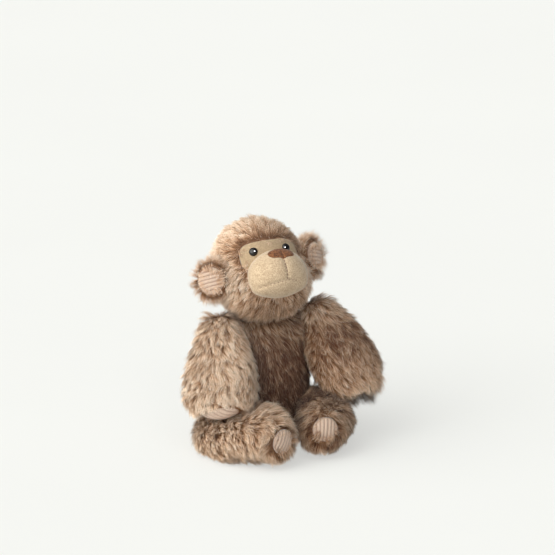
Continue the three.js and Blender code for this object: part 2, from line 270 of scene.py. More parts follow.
def plain_material(name, light, dark, scale, roughness):
    n = Nodes(name, Roughness=roughness)
    n.color(n.ramp(n.noise(scale, 3), [(0.35, dark), (0.65, light)]))
    n.bump(n.noise(scale * 1.7, 2), 0.4, 0.0006)
    return n.material


PILE = fur_material()
BACKING = backing_material()
MUZZLE_CLOTH = cream_material("muzzle_cloth", srgb(197, 175, 147), srgb(146, 120, 92), 1500)
FACE_CLOTH = weave_material()
CORDUROY = corduroy_material()
NOSE_CLOTH = nose_material()
EYE_PLASTIC = eye_material()
THREAD = plain_material("thread", srgb(118, 88, 62), srgb(84, 60, 42), 2500, 0.8)
WASHER_PLASTIC = plain_material("washer_plastic", srgb(232, 230, 224), srgb(222, 219, 212), 300, 0.4)
STUFFING = plain_material("stuffing_fibre", srgb(246, 244, 238), srgb(228, 225, 216), 500, 1.0)
PELLETS = plain_material("pellet_cloth", srgb(214, 208, 197), srgb(190, 184, 172), 700, 0.85)

# ==== Meshes ====


def unit(v):
    """The vectors at length 1."""
    return v / np.maximum(np.linalg.norm(v, axis=-1, keepdims=True), 1e-9)


def fade(x, start, end):
    """0 up to start and 1 from end on; end may be the lower of the two."""
    return np.clip((x - start) / (end - start), 0, 1)


def vertex_values(mesh, key):
    flat = np.empty(len(mesh.vertices) * 3)
    mesh.vertices.foreach_get(key, flat)
    return flat.reshape(-1, 3)


def points_of(mesh):
    """A mesh's vertices in millimetres."""
    return vertex_values(mesh, "co") / MM


def normals_of(mesh):
    return vertex_values(mesh, "normal")


def set_points(mesh, points):
    mesh.vertices.foreach_set("co", (points * MM).ravel())
    mesh.update()


def cad_points(node):
    return points_of(frame["nodes"][node].data)


def cad_middle(node):
    return cad_points(node).mean(axis=0)


def linked(name, mesh, material):
    """A new object in the scene that shows the mesh."""
    mesh.materials.append(material)
    return placed(name, mesh)


def mesh_object(name, points, faces, material, smooth=True):
    mesh = bpy.data.meshes.new(name)
    mesh.from_pydata((np.asarray(points) * MM).tolist(), [], [list(map(int, f)) for f in faces])
    mesh.update()
    if smooth:
        mesh.shade_smooth()
    return linked(name, mesh, material)


def hull_object(name, points, material):
    """The convex hull of the points."""
    bm = bmesh.new()
    for p in points * MM:
        bm.verts.new(p)
    made = bmesh.ops.convex_hull(bm, input=bm.verts)
    loose = [v for v in made["geom_interior"] + made["geom_unused"] if isinstance(v, bmesh.types.BMVert)]
    bmesh.ops.delete(bm, geom=list(set(loose)), context="VERTS")
    mesh = bpy.data.meshes.new(name)
    bm.to_mesh(mesh)
    bm.free()
    return linked(name, mesh, material)


def copy_object(name, node, material):
    """A CAD node's mesh as a new object."""
    mesh = frame["nodes"][node].data.copy()
    mesh.name = name
    mesh.materials.clear()
    return linked(name, mesh, material)


def bake_modifiers(obj):
    """The object's mesh as its modifiers leave it, and no modifiers."""
    graph = bpy.context.evaluated_depsgraph_get()
    mesh = bpy.data.meshes.new_from_object(obj.evaluated_get(graph))
    old = obj.data
    obj.modifiers.clear()
    obj.data = mesh
    bpy.data.meshes.remove(old)


def remesh(obj, voxel, relax=6):
    """An even quad mesh of the same solid, with its facets smoothed away."""
    obj.data.update()
    step = obj.modifiers.new("remesh", "REMESH")
    step.mode = "VOXEL"
    step.voxel_size = voxel * MM
    smooth = obj.modifiers.new("relax", "CORRECTIVE_SMOOTH")
    smooth.use_only_smooth = True
    smooth.iterations = relax
    bake_modifiers(obj)
    obj.data.shade_smooth()


def grow(obj, distance):
    set_points(obj.data, points_of(obj.data) + normals_of(obj.data) * distance)


SIM_FRAMES = 20


def inflate(objects, cap, pressure=4.0):
    """Stuffs the cloth shells: Cloth with air pressure, each point moved by no more than cap."""
    before = [points_of(o.data) for o in objects]
    for o in objects:
        cloth = o.modifiers.new("cloth", "CLOTH")
        stuff = cloth.settings
        stuff.quality = 4
        stuff.mass = 0.15
        stuff.use_pressure = True
        stuff.uniform_pressure_force = pressure
        stuff.effector_weights.gravity = 0
        cloth.collision_settings.use_collision = False
        cloth.collision_settings.use_self_collision = False
        cloth.point_cache.frame_start = 1
        cloth.point_cache.frame_end = SIM_FRAMES
    for f in range(1, SIM_FRAMES + 1):
        bpy.context.scene.frame_set(f)
    for o, old in zip(objects, before):
        bake_modifiers(o)
        move = points_of(o.data) - old
        far = np.linalg.norm(move, axis=1, keepdims=True)
        set_points(o.data, old + move * np.minimum(1, cap / np.maximum(far, 1e-6)))
        o.data.shade_smooth()
    bpy.context.scene.frame_set(1)


def subdivide(obj):
    step = obj.modifiers.new("finer", "SUBSURF")
    step.levels = step.render_levels = 1
    bake_modifiers(obj)
    obj.data.shade_smooth()


# How far outside a ray starts that looks for a surface.
RAY_START = 30.0


def tree_of(obj):
    """A search tree of the object's surface, in metres."""
    faces = [tuple(p.vertices) for p in obj.data.polygons]
    return BVHTree.FromPolygons((points_of(obj.data) * MM).tolist(), faces)


# ==== Where things are ====


def head_local(points):
    """Points in the head's own frame, in which it looks level along -Y."""
    c, s = math.cos(HEAD_PITCH), math.sin(HEAD_PITCH)
    x, y, z = (np.asarray(points) - HEAD_CENTER).T
    return np.stack([x, y * c - z * s, y * s + z * c], axis=-1)


def head_world(points):
    """The reverse of head_local."""
    c, s = math.cos(HEAD_PITCH), math.sin(HEAD_PITCH)
    x, y, z = np.moveaxis(np.asarray(points, float), -1, 0)
    return HEAD_CENTER + np.stack([x, y * c + z * s, -y * s + z * c], axis=-1)


# How far to either side of its plane a pad parts the pile.
PAD_DEPTH = 14.0


class Pad:
    """The middle, axes and half sizes of a flat oval CAD piece. The last axis is its thin one, and points
    away from away_from. strength is how firmly the pad parts the pile beside it."""

    def __init__(self, node, away_from, strength):
        self.strength = strength
        points = cad_points(node)
        low, high = points.min(axis=0), points.max(axis=0)
        self.center = (low + high) / 2
        vectors = np.linalg.eigh(np.cov((points - points.mean(axis=0)).T))[1]
        self.axes = vectors.T[::-1].copy()
        out = self.center - away_from
        if self.axes[2] @ out < 0:
            self.axes[2] *= -1
        spans = (points - self.center) @ self.axes.T
        self.center = self.center + ((spans.max(axis=0) + spans.min(axis=0)) / 2) @ self.axes
        self.half = (spans.max(axis=0) - spans.min(axis=0)) / 2

    def radius(self, points):
        """Distance from the middle, as a share of the pad's edge, and height over its plane."""
        q = (points - self.center) @ self.axes.T
        return np.hypot(q[:, 0] / self.half[0], q[:, 1] / self.half[1]), q[:, 2]

    def lean(self, angle, out):
        """Turns the pad about the side-to-side axis, and moves it out."""
        c, s = math.cos(angle), math.sin(angle)
        turn = np.array([[1, 0, 0], [0, c, s], [0, -s, c]])
        self.axes = self.axes @ turn.T
        self.center = self.center + self.axes[2] * out

    def parted(self, points, comb):
        """comb turned to run away from the pad near its edge."""
        away = points - self.center
        away = unit(away - (away @ self.axes[2])[:, None] * self.axes[2])
        share, height = self.radius(points)
        near = fade(share, 1.6, 1.1) * (np.abs(height) < PAD_DEPTH) * self.strength
        return unit(comb * (1 - near[:, None]) + away * near[:, None])


# ==== Cloth shells under the fur ====

# How fine each shell is, how far it lies outside its CAD piece, and how far the stuffing may move it.
SHELL_VOXEL = {"torso": 3.5, "head": 3.5, "arm": 3.5, "leg": 3.5, "ear": 2.0}
SHELL_GROWTH = {"torso": -1.0, "head": -1.0, "arm": -0.5, "leg": 3.0, "ear": -1.0}
SHELL_CAP = 2.0

# The torso's shell reaches out to the shoulders, given from the seat.
SHOULDERS = {"right": np.array([-31, -9, 112]), "left": np.array([33, -6, 110])}
SHOULDER_RADIUS = 14

# Fuller and slimmer places of the limbs: the middle of each from ORIGIN, its radius, and its move.
BULGES = {
    "leg_right": [((-21, -60, 42), 22, (2, 3, 9))],
    "leg_left": [((34, -40, 44), 22, (-2, 0, 4))],
    "arm_right": [((-47, -42, 62), 20, (7, -2, -6)), ((-52, -38, 84), 18, (4, 0, 0)),
                  ((-66, -46, 54), 20, (0, -2, -5)), ((-84, -20, 64), 20, (-4, 0, -2))],
    "arm_left": [((100, -34, 84), 22, (3.5, 0, -3)), ((82, -44, 60), 22, (2, -2, -9)),
                 ((64, -44, 64), 20, (4, 0, -2)), ((104, -20, 38), 19, (-6, 0, 7)),
                 ((54, -1, 126), 16, (-6, 0, 3))],
}

shells = {}


def make_shells():
    rng = np.random.default_rng(5)
    torso = [cad_points("torso_skin")]
    for side, shoulder in SHOULDERS.items():
        ball = unit(rng.normal(0, 1, (60, 3))) * SHOULDER_RADIUS
        torso.append(SEAT * [1, 1, 0] + shoulder + ball)
    shells["torso"] = hull_object("torso_shell", np.concatenate(torso), BACKING)
    shells["head"] = hull_object("head_shell", cad_points("head_skin"), BACKING)
    for side in SIDES:
        shells[f"arm_{side}"] = hull_object(f"arm_shell_{side}", cad_points(f"arm_skin_{side}"), BACKING)
        shells[f"leg_{side}"] = copy_object(f"leg_shell_{side}", f"leg_stuffing_{side}", BACKING)
        shells[f"ear_{side}"] = hull_object(f"ear_shell_{side}", cad_points(f"ear_back_{side}"), BACKING)
    for key, shell in shells.items():
        part = key.partition("_")[0]
        remesh(shell, SHELL_VOXEL[part])
        grow(shell, SHELL_GROWTH[part])
        points = points_of(shell.data)
        for middle, radius, move in BULGES.get(key, ()):
            far = np.linalg.norm(points - ORIGIN - middle, axis=1) / radius
            points += np.exp(-far ** 2)[:, None] * move
        set_points(shell.data, points)
    inflate(list(shells.values()), SHELL_CAP)


make_shells()

# ==== Fur ====

RINGS = 3               # cross-sections along a fibre, before its point
FIBRE_RADIUS = 0.155
ROOT_DEPTH = 0.6        # how deep in the cloth a fibre starts
FLOOR_GAP = 0.5         # the least height of a fibre over the floor
MAX_FIBRES = 12000      # in one piece
TONES = 64              # steps of shade
LOOSE_SHARE = 0.45      # fibres that hardly follow their tuft
# How much tufts, and then single fibres, vary in heading and lift, in curl, and in shade.
TUFT_TURN, FIBRE_TURN = (0.33, 0.22), (0.18, 0.15)
TUFT_CURL, FIBRE_CURL = 0.7, 0.35
TUFT_TONE, FIBRE_TONE = 0.12, 0.22


def surface_points(obj, count, rng):
    """Random points on the surface with their smooth normals."""
    mesh = obj.data
    mesh.calc_loop_triangles()
    corners = np.empty(len(mesh.loop_triangles) * 3, dtype=np.int64)
    mesh.loop_triangles.foreach_get("vertices", corners)
    corners = corners.reshape(-1, 3)
    points, normals = points_of(mesh), normals_of(mesh)
    a, b, c = (points[corners[:, k]] for k in range(3))
    area = np.linalg.norm(np.cross(b - a, c - a), axis=1) / 2
    pick = rng.choice(len(area), size=count, p=area / area.sum())
    u, v = rng.random(count), rng.random(count)
    flip = u + v > 1
    u[flip], v[flip] = 1 - u[flip], 1 - v[flip]
    weight = np.stack([1 - u - v, u, v], axis=1)[:, :, None]
    where = (points[corners[pick]] * weight).sum(axis=1)
    normal = unit((normals[corners[pick]] * weight).sum(axis=1))
    return where, normal


def paths(roots, normals, comb, length, lift, droop):
    """Centre lines of fibres that leave at an angle to the surface and lay over along comb."""
    out = [roots]
    for k in range(RINGS):
        t = (k + 0.5) / RINGS
        rise = lift * (1 - 0.75 * t)
        heading = unit(comb + normals * rise[:, None] - UP * (droop * t))
        out.append(out[-1] + heading * (length / RINGS)[:, None])
    return np.stack(out, axis=1)


def strands(centres, radius):
    """Closed three-sided fibres that taper to a point: vertices, triangles, and the place along each."""
    count, rows, _ = centres.shape
    rings = rows - 1
    heading = unit(np.gradient(centres, axis=1))
    side = unit(np.cross(heading[:, 1], UP + 0.01))[:, None, :]
    side = unit(side - heading * (side * heading).sum(axis=-1, keepdims=True))
    other = np.cross(heading, side)
    t = np.linspace(0, 1, rows)
    width = 1 - t[:rings] ** 2 * 0.75
    verts = []
    for angle in (0, 2 * math.pi / 3, 4 * math.pi / 3):
        reach = side[:, :rings] * math.cos(angle) + other[:, :rings] * math.sin(angle)
        verts.append(centres[:, :rings] + reach * (radius[:, None, None] * width[None, :, None]))
    ring = np.stack(verts, axis=2).reshape(count, rings * 3, 3)
    verts = np.concatenate([ring, centres[:, -1:]], axis=1)
    faces = [(2, 1, 0)]
    for k in range(rings - 1):
        for i in range(3):
            a, b = k * 3 + i, k * 3 + (i + 1) % 3
            faces += [(a, b, b + 3), (a, b + 3, a + 3)]
    last = (rings - 1) * 3
    faces += [(last + i, last + (i + 1) % 3, rings * 3) for i in range(3)]
    along = np.append(np.repeat(t[:rings], 3), 1.0)
    return verts, np.array(faces), along


def fibre_object(name, centres, radius, tone, normals, softness):
    """The fibres as one mesh. Each one's shading normals are turned towards the skin's by softness, so that
    the pile lights as one soft surface."""
    verts, faces, along = strands(centres, radius)
    count, per = verts.shape[:2]
    corners = (faces[None] + (np.arange(count) * per)[:, None, None]).reshape(-1, 3)
    mesh = bpy.data.meshes.new(name)
    mesh.vertices.add(count * per)
    mesh.vertices.foreach_set("co", (verts.reshape(-1, 3) * MM).ravel())
    mesh.loops.add(corners.size)
    mesh.loops.foreach_set("vertex_index", corners.ravel())
    mesh.polygons.add(len(corners))
    mesh.polygons.foreach_set("loop_start", np.arange(0, corners.size, 3))
    mesh.polygons.foreach_set("loop_total", np.full(len(corners), 3))
    mesh.update(calc_edges=True)
    mesh.shade_smooth()
    u = np.floor(np.clip(tone, 0, 0.999) * TONES) + 0.5
    uv = np.stack([np.repeat(u / TONES, per), np.tile(0.02 + 0.96 * along, count)], axis=1)
    mesh.uv_layers.new(name=UV_NAME).data.foreach_set("uv", uv[corners.ravel()].ravel())
    blend = normals_of(mesh) * (1 - softness) + np.repeat(normals, per, axis=0) * softness
    mesh.normals_split_custom_set_from_vertices(unit(blend).tolist())
    return linked(name, mesh, PILE)


def nearest_tuft(roots, tufts):
    """The index of the tuft nearest to each root."""
    tree = kdtree.KDTree(len(tufts))
    for i, p in enumerate(tufts):
        tree.insert(p, i)
    tree.balance()
    return np.array([tree.find(p)[1] for p in roots])


def drift(points, seed):
    """A slow random swing of the comb direction over the surface, from -1 to 1."""
    rng = np.random.default_rng(1000 + seed)
    total = np.zeros(len(points))
    for _ in range(5):
        wave = unit(rng.normal(0, 1, 3)) * 2 * math.pi / rng.uniform(22, 60)
        total += np.sin(points @ wave + rng.uniform(0, 6.3))
    return total / 2.5


def grow_fur(name, body, shell, density, field, keep, length, lift=0.9, droop=0.25, tuft_area=10.0,
             clump=0.42, sway=0.4, pads=(), seed=1, shade=0.5, softness=0.7):
    """Fur on a shell. field(points, normals) is the comb direction, keep the mask and length the length, of
    the same arguments; lift is how steeply the fibres leave the cloth, droop how far they bend down, and
    clump how far they gather in tufts. shade, 0 dark to 1 pale, is the pile's tone; where it depends on the
    points it is painted light and shade, paler where light falls and darker where shade falls."""
    rng = np.random.default_rng(seed)
    area = sum(p.area for p in shell.data.polygons) / MM ** 2
    roots, normals = surface_points(shell, int(area * density), rng)
    kept = keep(roots, normals)
    roots, normals = roots[kept], normals[kept]
    tuft_count = max(8, int(len(roots) / (density * tuft_area)))
    tufts, tuft_normals = roots[:tuft_count], normals[:tuft_count]

    def lines(points, normal, stretch, noise):
        comb = unit(field(points, normal))
        for pad in pads:
            comb = pad.parted(points, comb)
        comb = unit(comb - normal * (comb * normal).sum(axis=1, keepdims=True))
        side = np.cross(normal, comb)
        comb = unit(comb + side * (noise[:, :1] + drift(points, seed)[:, None] * sway))
        rise = (lift(points, normal) if callable(lift) else lift) * (1 + noise[:, 1])
        start = points - normal * ROOT_DEPTH
        return paths(start, normal, comb, length(points, normal) * stretch, rise, droop)

    tuft_noise = rng.normal(0, 1, (tuft_count, 2)) * TUFT_TURN
    tuft_stretch = 1 + rng.normal(0, 0.1, tuft_count)
    guides = lines(tufts, tuft_normals, tuft_stretch, tuft_noise)
    which = nearest_tuft(roots, tufts)
    own_noise = tuft_noise[which] + rng.normal(0, 1, (len(roots), 2)) * FIBRE_TURN
    stretch = tuft_stretch[which] * rng.uniform(0.72, 1.08, len(roots))
    centres = lines(roots, normals, stretch, own_noise)
    t = np.linspace(0, 1, RINGS + 1)
    loyal = np.where(rng.random(len(roots)) < LOOSE_SHARE, 0.15, rng.uniform(0.7, 1.1, len(roots)))
    pull = (clump * t ** 1.2)[None, :, None] * loyal[:, None, None]
    centres = centres * (1 - pull) + guides[which] * pull
    swirl = rng.normal(0, 1, (tuft_count, 3))[which] * TUFT_CURL
    swirl += rng.normal(0, 1, (len(roots), 3)) * FIBRE_CURL
    wave = np.sin(2 * math.pi * 0.9 * t[None, :] + rng.uniform(0, 6.3, tuft_count)[which][:, None])
    centres += swirl[:, None, :] * (wave * t[None, :])[:, :, None]
    centres[:, :, 2] = np.maximum(centres[:, :, 2], FLOOR_GAP)
    radius = FIBRE_RADIUS * rng.uniform(0.75, 1.25, len(roots))
    # The pile's tone with its painted light and shade, plus random tone for each tuft and fibre.
    tone_and_painted_shade = shade(roots) if callable(shade) else shade
    tone = tone_and_painted_shade + rng.normal(0, TUFT_TONE, tuft_count)[which] + rng.normal(0, FIBRE_TONE, len(roots))
    pieces = math.ceil(len(roots) / MAX_FIBRES)
    for i in range(pieces):
        pick = slice(i, None, pieces)
        parts = centres[pick], radius[pick], tone[pick], normals[pick]
        obj = fibre_object(f"{name}_{i + 1}", *parts, softness)
        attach(obj, body)


# How far each palm pad is turned up towards the front, and how far it stands out.
PALM_LEAN = {"right": math.radians(10), "left": 0.0}
PALM_LIFT = {"right": 0.5, "left": 0.0}

# How firmly each pad parts the pile: ear, palm and sole.
PARTING = {"right": (0.85, 0.85, 0.6), "left": (0.6, 0.0, 0.6)}

pads = {}
for side in SIDES:
    ear, palm, sole = PARTING[side]
    behind_ear = cad_middle(f"ear_back_{side}") + [0, 10, 0]
    pads[f"ear_{side}"] = Pad(f"ear_lining_{side}", behind_ear, ear)
    pads[f"palm_{side}"] = Pad(f"palm_pad_{side}", cad_middle(f"arm_stuffing_{side}"), palm)
    pads[f"palm_{side}"].lean(PALM_LEAN[side], PALM_LIFT[side])
    pads[f"sole_{side}"] = Pad(f"sole_pad_{side}", cad_middle(f"leg_stuffing_{side}"), sole)


def free_of(node, points, distance):
    """Which points are further than distance from a CAD node's surface."""
    tree = tree_of(frame["nodes"][node])
    return np.array([tree.find_nearest(p)[3] for p in points * MM]) / MM > distance


def torso_fur():
    grow_fur(
        "torso_fur", "torso", shells["torso"], 1.45,
        field=lambda p, n: -UP + 0.35 * unit((p - SEAT) * [1, 1, 0]),
        keep=lambda p, n: n[:, 2] > -0.9,
        length=lambda p, n: 12.5,
        lift=0.75, droop=0.2, seed=11,
        # Painted shade: the chest darker in front, where the arms and head shade it, and paler towards the
        # back and on top, where the light falls.
        shade=lambda p: (np.interp(p[:, 1] - SEAT[1], (-24, 8), (0.0, 0.42))
                         + 0.22 * fade(p[:, 2], 92, 110)))


# The opening in the head's fur, head-local: its middle, half sizes and squareness.
WINDOW = {"x": 1.0, "z": 6.0, "half_width": 26.0, "half_height": 14.5, "squareness": 3.6}
FAR = 9.0
NECK_HEIGHT = 132
BACKWARD = np.array([0.0, 0.45, 0.0])


def window_share(q):
    """1 on the fur's edge round the face window, less inside it and FAR behind, at head-local places."""
    power = WINDOW["squareness"]
    x = np.abs((q[:, 0] - WINDOW["x"]) / WINDOW["half_width"])
    z = np.abs((q[:, 2] - WINDOW["z"]) / WINDOW["half_height"])
    return np.where(q[:, 1] < 0, (x ** power + z ** power) ** (1 / power), FAR)


def head_fur():
    def field(p, n):
        q = head_local(p)
        out = np.stack([q[:, 0], np.maximum(0, 30 + q[:, 1]) * 0.6, q[:, 2] + 4], axis=-1)
        away = unit(head_world(out) - HEAD_CENTER)
        inward = unit(head_world([1.0, -40.0, 2.0]) - p)
        rim = fade(window_share(q), 1.25, 1.0)[:, None]
        crown = (fade(q[:, 2], 5, 25) * fade(q[:, 1], -25, -5))[:, None]
        return away * (1 - rim) + 1.4 * inward * rim - 0.35 * UP + crown * BACKWARD

    def keep(p, n):
        outside = window_share(head_local(p)) >= 1
        return outside & free_of("muzzle_skin", p, 1.4) & (p[:, 2] > NECK_HEIGHT)

    def length(p, n):
        q = head_local(p)
        low = fade(q[:, 2], -10, -40)
        rim = fade(window_share(q), 1.35, 1.05)
        brow = rim * (q[:, 2] > 12)
        return 10.5 + 3.0 * low - 3.0 * rim + 2.5 * brow

    def lift(p, n):
        return 1.15 + 0.6 * fade(window_share(head_local(p)), 1.3, 1.0)

    # Painted shade and light: the chin darker in the muzzle's shade, the fur round the upper face window
    # darker in the brow's shade, and the cheeks paler where the light falls.
    def shade(p):
        q = head_local(p)
        chin = fade(q[:, 2], -18, -32) * fade(q[:, 1], -5, -25)
        brow = fade(window_share(q), 1.9, 1.1) * (q[:, 2] > 4)
        cheek = fade(np.abs(q[:, 0]), 18, 30) * fade(q[:, 2], 6, -6)
        return 0.74 - 0.42 * chin - 0.3 * brow + 0.16 * cheek

    grow_fur("head_fur", "head", shells["head"], 1.8, field, keep, length, lift=lift, droop=0.3,
             tuft_area=9, seed=21, shade=shade)


def limb_axis(node):
    """The direction in which a piece is longest, pointing down."""
    points = cad_points(node)
    axis = np.linalg.eigh(np.cov((points - points.mean(axis=0)).T))[1][:, -1]
    return axis if axis[2] < 0 else -axis


# Where the pile starts round a palm pad, and how much shorter it is there and on the arm's inner side.
PALM_EDGE = {"right": 1.02, "left": 0.9}
PALM_CLIP = {"right": 7.0, "left": 0.0}
ARM_INNER_CLIP = {"right": 0.0, "left": 4.5}

# Painted light and shade in the pile's tone at three places along a limb, and the paler tone that the back
# and the top of the shoulder add to an arm's.
# The right arm and leg, on the lit side, are painted pale. The left arm is painted dark at the shoulder,
# where the head shades it, and pale at the hand, whose underside lies in shade; the top of its shoulder is
# painted paler where the light falls, and its back paler than its shaded front.
ARM_PLACES = (-40, 22, 42)
ARM_PAINTED_SHADE = {"right": (0.7, 0.76, 0.76), "left": (0.0, 0.46, 0.8)}
ARM_BACK_PAINTED_LIGHT = {"right": 0.0, "left": 0.25}
ARM_TOP_PAINTED_LIGHT = {"right": 0.0, "left": 0.34}
# The left leg is painted dark on the thigh, where the arms shade it.
LEG_PLACES = (-60, -36, -12)
LEG_PAINTED_SHADE = {"right": (0.55, 0.55, 0.5), "left": (0.34, 0.04, 0.34)}


def arm_fur(side):
    axis = limb_axis(f"arm_stuffing_{side}")
    middle = cad_middle(f"arm_stuffing_{side}")
    pad = pads[f"palm_{side}"]

    def field(p, n):
        spread = p - middle
        spread = spread - axis * (spread @ axis)[:, None]
        return axis + 0.012 * spread

    def length(p, n):
        share, height = pad.radius(p)
        near = fade(share, 2.0, 1.3) * (np.abs(height) < PAD_DEPTH)
        hand = fade((p - middle) @ axis, 18, 36)
        inner = np.clip(-SIDES[side] * n[:, 0], 0, 1)
        return 13.0 + 8.0 * hand - PALM_CLIP[side] * near - ARM_INNER_CLIP[side] * inner

    def keep(p, n):
        share, height = pad.radius(p)
        return (share > PALM_EDGE[side]) | (np.abs(height) > PAD_DEPTH)

    grow_fur(
        f"arm_fur_{side}", f"arm_{side}", shells[f"arm_{side}"], 1.7, field, keep, length,
        lift=0.85, droop=0.15, pads=[pad], seed=31 + SIDES[side],
        # Painted shade and light along the arm, on its back and on the top of the shoulder.
        shade=lambda p: (np.interp((p - middle) @ axis, ARM_PLACES, ARM_PAINTED_SHADE[side])
                         + ARM_BACK_PAINTED_LIGHT[side] * fade(p[:, 1] - middle[1], 0, 16)
                         + ARM_TOP_PAINTED_LIGHT[side] * fade(p[:, 2], 114, 123)))


# The middle line of each leg from the hip to the sole, from ORIGIN.
LEG_PATHS = {
    "right": [[-36, 14, 24], [-48, -8, 18.5], [-56, -32, 16], [-41, -60, 23], [-24, -80, 27],
              [-18, -97, 25]],
    "left": [[36, 14, 24], [46, -8, 25], [52, -28, 25], [44, -52, 26], [32, -72, 26], [29, -88, 26]],
}


def leg_fur(side):
    path = np.array(LEG_PATHS[side], float) + ORIGIN
    spans = zip(path[:-1], path[1:])
    fine = np.concatenate([np.linspace(a, b, 12, endpoint=False) for a, b in spans])
    tangent = unit(np.gradient(fine, axis=0))

    def field(p, n):
        near = ((p[:, None, :] - fine[None]) ** 2).sum(axis=2).argmin(axis=1)
        return tangent[near] - 0.5 * UP + 0.35 * unit(p - fine[near])

    grow_fur(
        f"leg_fur_{side}", f"leg_{side}", shells[f"leg_{side}"], 1.6, field,
        keep=lambda p, n: free_of(f"sole_pad_{side}", p, 1.8) & (n[:, 2] > -0.93),
        length=lambda p, n: 13.5 - 6.0 * np.clip(-n[:, 2], 0, 1),
        lift=1.1, droop=0.2, pads=[pads[f"sole_{side}"]], seed=41 + SIDES[side],
        # Painted shade along the leg, darkest on the left thigh.
        shade=lambda p: np.interp(p[:, 1] - ORIGIN[1], LEG_PLACES, LEG_PAINTED_SHADE[side]))


def ear_fur(side):
    shell = shells[f"ear_{side}"]
    center = points_of(shell.data).mean(axis=0)
    root = HEAD_CENTER + [SIDES[side] * 40, 8, -4]

    def field(p, n):
        return unit(p - root) + 0.4 * unit(p - center)

    grow_fur(
        f"ear_fur_{side}", "head", shell, 1.8, field,
        keep=lambda p, n: free_of(f"ear_lining_{side}", p, 2.4),
        length=lambda p, n: 12.0,
        lift=0.9, droop=0.1, tuft_area=8, pads=[pads[f"ear_{side}"]], seed=51 + SIDES[side], shade=0.85,
        softness=0.3)


torso_fur()
head_fur()
for side in SIDES:
    arm_fur(side)
    leg_fur(side)
    ear_fur(side)

# ==== Face ====

# The skull under the face, the face patch, and how far the patch runs on under the fur: all head-local.
SKULL = {"radii": (43.0, 45.0, 46.0), "middle": 2.0}
FACE = {"half_width": 26.6, "half_height": 12.4, "height": 6.8, "squareness": 3.4}
FACE_MARGIN = 2.5


def skull_front(x, z, proud):
    """Head-local y of the skull's front at x, z, with the surface moved out by proud."""
    rx, ry, rz = (r + proud for r in SKULL["radii"])
    return SKULL["middle"] - ry * np.sqrt(np.maximum(0.02, 1 - (x / rx) ** 2 - (z / rz) ** 2))


def disc(rings, sectors):
    """A disc as rings of points: radius and angle of each, and the faces, seen from above."""
    radius = np.concatenate([[0.0], np.repeat(np.linspace(0, 1, rings + 1)[1:], sectors)])
    angle = np.concatenate([[0.0], np.tile(np.arange(sectors) * 2 * math.pi / sectors, rings)])
    faces = [(0, 1 + i, 1 + (i + 1) % sectors) for i in range(sectors)]
    for k in range(rings - 1):
        a, b = 1 + k * sectors, 1 + (k + 1) * sectors
        faces += [(a + i, b + i, b + (i + 1) % sectors, a + (i + 1) % sectors) for i in range(sectors)]
    return radius, angle, faces


def closed_disc(rings, sectors):
    """Two such discs joined at their rims: radius, angle, which side, and the faces."""
    radius, angle, faces = disc(rings, sectors)
    count = len(radius)
    rim = count - sectors
    back = [tuple(count + i for i in reversed(f)) for f in faces]
    edge = [(rim + i, count + rim + i, count + rim + (i + 1) % sectors, rim + (i + 1) % sectors)
            for i in range(sectors)]
    side = np.repeat([1.0, 0.0], count)
    return np.tile(radius, 2), np.tile(angle, 2), side, faces + back + edge


def superellipse(angle, a, b, power):
    """The points of a squarish oval with half sizes a and b, in the directions angle."""
    c, s = np.cos(angle), np.sin(angle)
    k = (np.abs(c / a) ** power + np.abs(s / b) ** power) ** (-1 / power)
    return c * k, s * k


def face_patch():
    """The cream cloth in the window of the head, with a puckered edge."""
    radius, angle, side, faces = closed_disc(34, 120)
    half_width, half_height = FACE["half_width"] + FACE_MARGIN, FACE["half_height"] + FACE_MARGIN
    ex, ez = superellipse(angle, half_width, half_height, FACE["squareness"])
    x, z = ex * radius, ez * radius + FACE["height"]
    pucker = 0.35 * np.sin(angle * 46) * fade(radius, 0.8, 1.0)
    proud = 0.9 + 0.8 * np.sqrt(np.maximum(0, 1 - radius ** 6)) + pucker * side
    proud = np.where(side > 0.5, proud, -1.0)
    y = skull_front(x, z, proud)
    obj = mesh_object("face_cloth", head_world(np.stack([x, y, z], axis=-1)), faces, FACE_CLOTH)
    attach(obj, "head")
    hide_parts("face_patch")


# The stitched lines of the muzzle, as head-local x and z: down from the nose, and out to both sides.
MOUTH_JOINT = (0.0, -20.0)
MOUTH_ENDS = ((-25.0, -24.0), (11.0, -22.0))
NOSE_SEAM_TOP = 3.0


def segment_distance(x, z, a, b):
    """Distance from each x, z to the line from a to b."""
    a, b = np.array(a), np.array(b)
    along = b - a
    q = np.stack([x, z], axis=-1) - a
    t = np.clip((q @ along) / (along @ along), 0, 1)
    return np.linalg.norm(q - t[:, None] * along, axis=1)


def square_muzzle(obj):
    """Fuller lower corners than an egg has, and a higher front edge under the nose."""
    points = points_of(obj.data)
    q = head_local(points)
    corner = np.exp(-((np.abs(q[:, 0]) - 22) / 9) ** 2 - ((q[:, 2] + 26) / 8) ** 2)
    q[:, 0] += np.sign(q[:, 0]) * 2.2 * corner
    q[:, 2] -= 1.4 * corner
    q[:, 2] += 2.0 * fade(q[:, 2], -8, 10) * fade(q[:, 1], -38, -50)
    set_points(obj.data, head_world(q))


